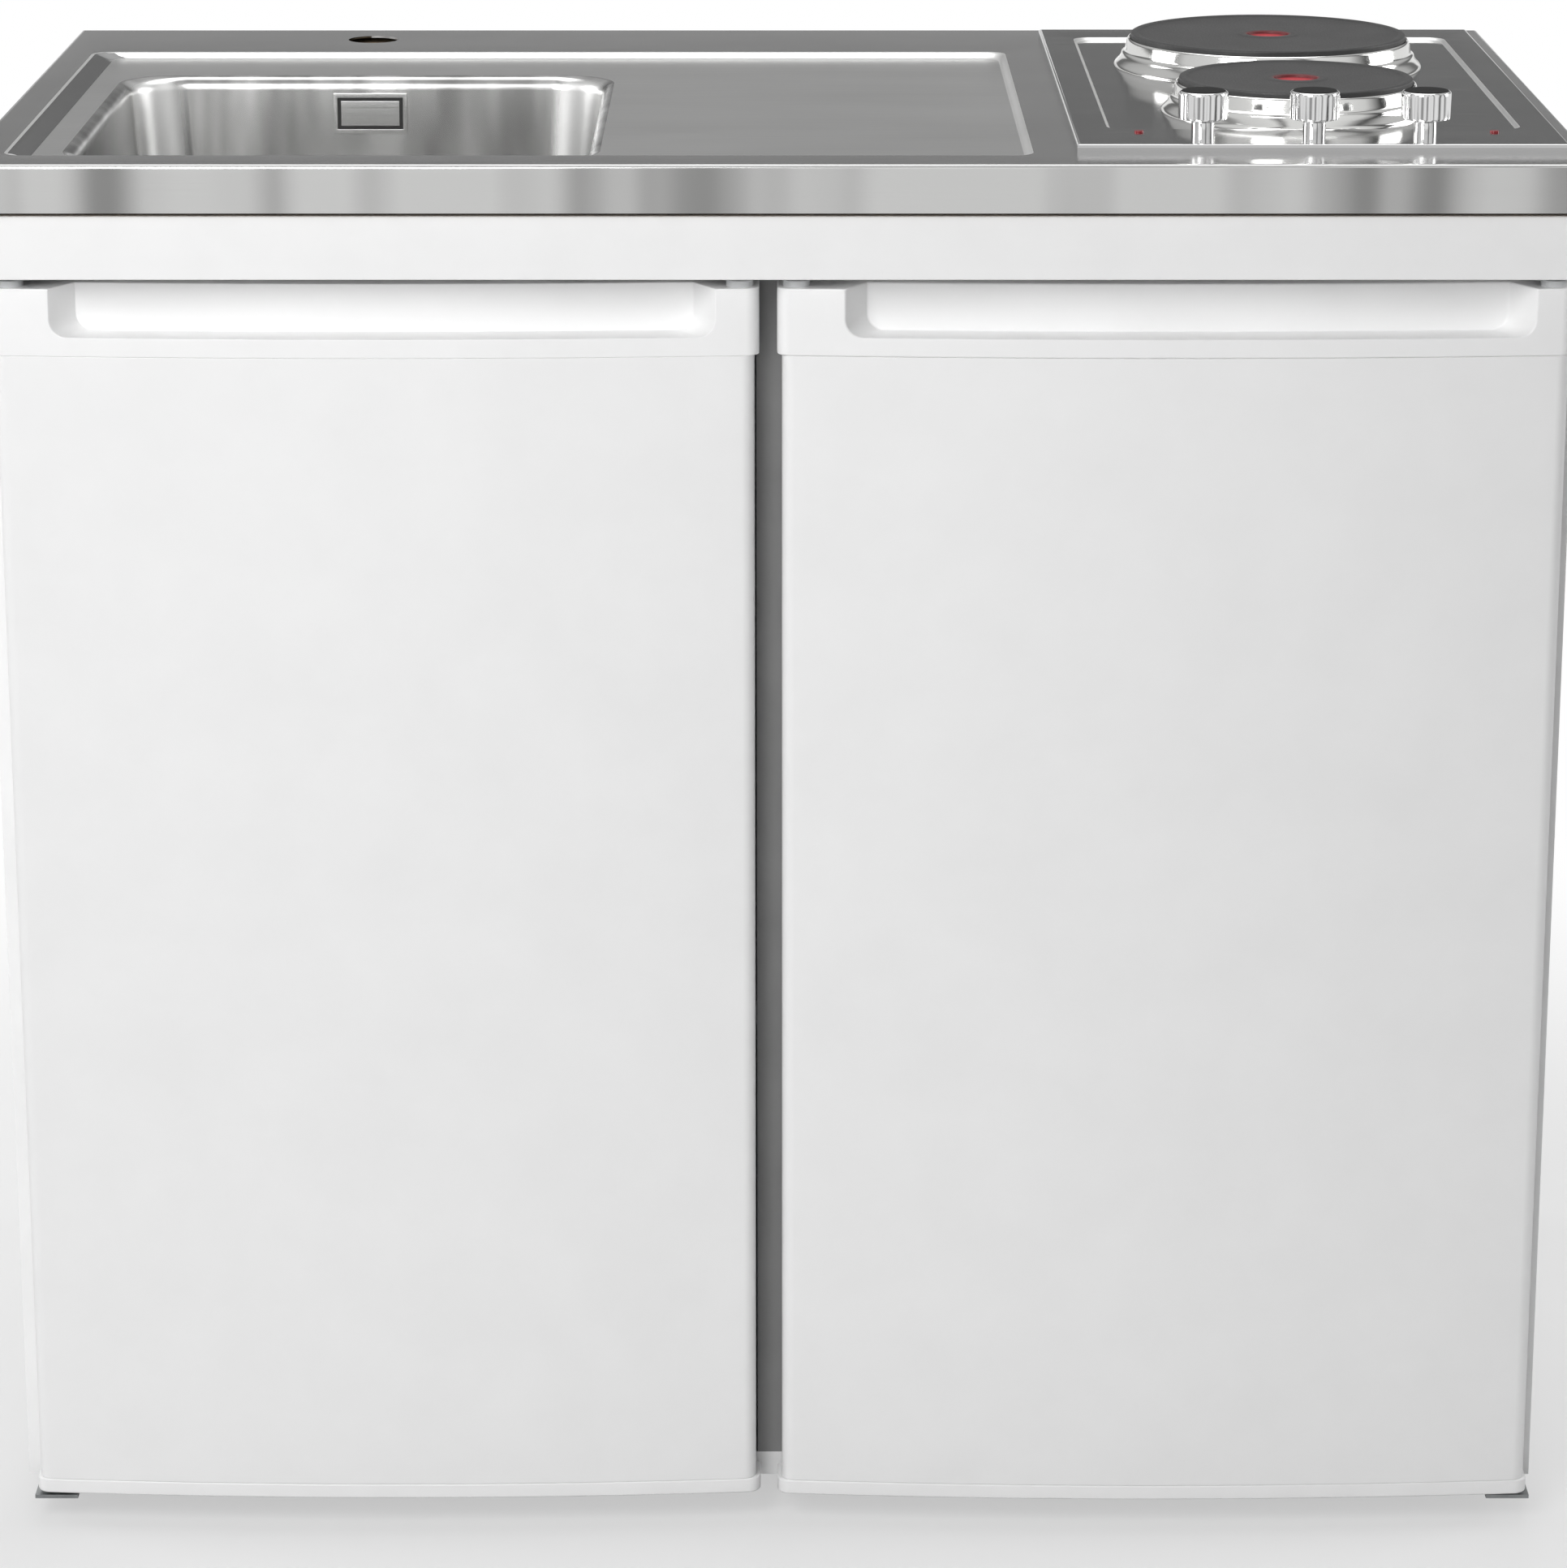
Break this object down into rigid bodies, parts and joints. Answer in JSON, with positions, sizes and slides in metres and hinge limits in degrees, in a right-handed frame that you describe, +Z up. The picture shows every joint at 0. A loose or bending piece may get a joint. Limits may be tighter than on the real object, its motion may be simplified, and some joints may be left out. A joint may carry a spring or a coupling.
{
  "type": "kitchenette unit with sink and hob",
  "caption": "Compact kitchenette: stainless worktop with pressed sink, drainer and inset hotplates over a sink cupboard and an under-counter refrigerator with bowed white doors.",
  "frame": {"origin": "on the floor, under the middle of the worktop's outline", "axes": "+X to the user's right along the worktop's length, +Y to the wall, +Z up"},
  "size_m": [1, 0.6, 0.935],
  "materials": {
    "stainless": "satin",
    "hob_steel": "satin",
    "zinc_steel": "matte",
    "cast_iron": "matte",
    "lamp_red": "gloss",
    "switch_plastic": "matte",
    "knob_chrome": "polished",
    "white_steel": "gloss",
    "white_board": "satin",
    "raw_board": "matte",
    "dark_edge": "matte",
    "white_plastic": "satin",
    "pale_plastic": "satin",
    "pipe_plastic": "satin",
    "foam": "matte",
    "seal_rubber": "matte",
    "foot_plastic": "matte",
    "glass": "polished",
    "clear_plastic": "gloss",
    "aluminium": "satin",
    "black_steel": "satin",
    "mount_rubber": "matte"
  },
  "bodies": {
    "unit": {"worktop": "stainless", "sink_bowl": "stainless", "overflow_plate": "stainless", "waste_body": "stainless", "plate_collars": "stainless", "hob_tray": "hob_steel", "hob_casing": "zinc_steel", "fridge_back_sheet": "zinc_steel", "hinge_plates": "zinc_steel", "shelf_supports": "zinc_steel", "front_hotplate": "cast_iron", "rear_hotplate": "cast_iron", "pilot_lamps": "lamp_red", "heat_regulators": "switch_plastic", "fascia": "white_board", "left_side_panel": "white_board", "right_side_panel": "white_board", "centre_partition": "white_board", "base_panel": "white_board", "back_panel": "white_board", "back_rail": "white_board", "cabinet_shelf": "white_board", "worktop_board": "raw_board", "centre_post": "dark_edge", "fridge_liner": "white_plastic", "thermostat_housing": "white_plastic", "overflow_pipe": "pipe_plastic", "bottle_trap": "pipe_plastic", "waste_pipe": "pipe_plastic", "fridge_insulation": "foam", "feet": "foot_plastic", "fridge_shelves": "glass", "crisper_cover": "glass", "ice_box": "aluminium", "compressor": "black_steel", "condenser": "black_steel", "compressor_mounts": "mount_rubber"},
    "left_door": {"left_door_panel": "white_steel", "left_door_core": "foam", "left_door_back": "white_plastic", "left_door_handle": "white_plastic", "left_door_sill": "white_plastic", "left_door_seal": "seal_rubber", "left_door_bushes": "pale_plastic"},
    "right_door": {"right_door_panel": "white_steel", "right_door_core": "foam", "right_door_liner": "white_plastic", "right_door_handle": "white_plastic", "right_door_sill": "white_plastic", "right_door_seal": "seal_rubber", "right_door_bushes": "pale_plastic", "door_racks": "white_plastic"},
    "crisper": {"crisper_drawer": "clear_plastic"},
    "ice_flap": {"ice_box_flap": "white_plastic"},
    "dial": {"thermostat_knob": "pale_plastic"},
    "left_knob": {"hob_knob_left": "knob_chrome"},
    "middle_knob": {"hob_knob_middle": "knob_chrome"},
    "right_knob": {"hob_knob_right": "knob_chrome"},
    "strainer": {"sink_strainer": "stainless"}
  },
  "joints": [
    {"name": "left_door_hinge", "type": "hinge", "parent": "unit", "child": "left_door", "pos_m": [-0.474, -0.274, 0.42], "axis": [0, 0, -1], "range_deg": [0, 110]},
    {"name": "right_door_hinge", "type": "hinge", "parent": "unit", "child": "right_door", "pos_m": [0.478, -0.274, 0.42], "axis": [0, 0, 1], "range_deg": [0, 110]},
    {"name": "crisper_slide", "type": "slide", "parent": "unit", "child": "crisper", "axis": [0, -1, 0], "range_m": [0, 0.085]},
    {"name": "ice_flap_hinge", "type": "hinge", "parent": "unit", "child": "ice_flap", "pos_m": [0.241, -0.1223, 0.7817], "axis": [-1, 0, 0], "range_deg": [0, 85]},
    {"name": "dial_turn", "type": "hinge", "parent": "unit", "child": "dial", "pos_m": [0.408, 0.03, 0.6247], "axis": [-1, 0, 0], "range_deg": [0, 300]},
    {"name": "left_knob_turn", "type": "hinge", "parent": "unit", "child": "left_knob", "pos_m": [0.263, -0.228, 0.92], "axis": [0, 0, -1], "range_deg": [0, 270]},
    {"name": "middle_knob_turn", "type": "hinge", "parent": "unit", "child": "middle_knob", "pos_m": [0.332, -0.228, 0.92], "axis": [0, 0, -1], "range_deg": [0, 270]},
    {"name": "right_knob_turn", "type": "hinge", "parent": "unit", "child": "right_knob", "pos_m": [0.401, -0.228, 0.92], "axis": [0, 0, -1], "range_deg": [0, 270]},
    {"name": "strainer_lift", "type": "slide", "parent": "unit", "child": "strainer", "axis": [0, 0, 1], "range_m": [0, 0.01]}
  ]
}
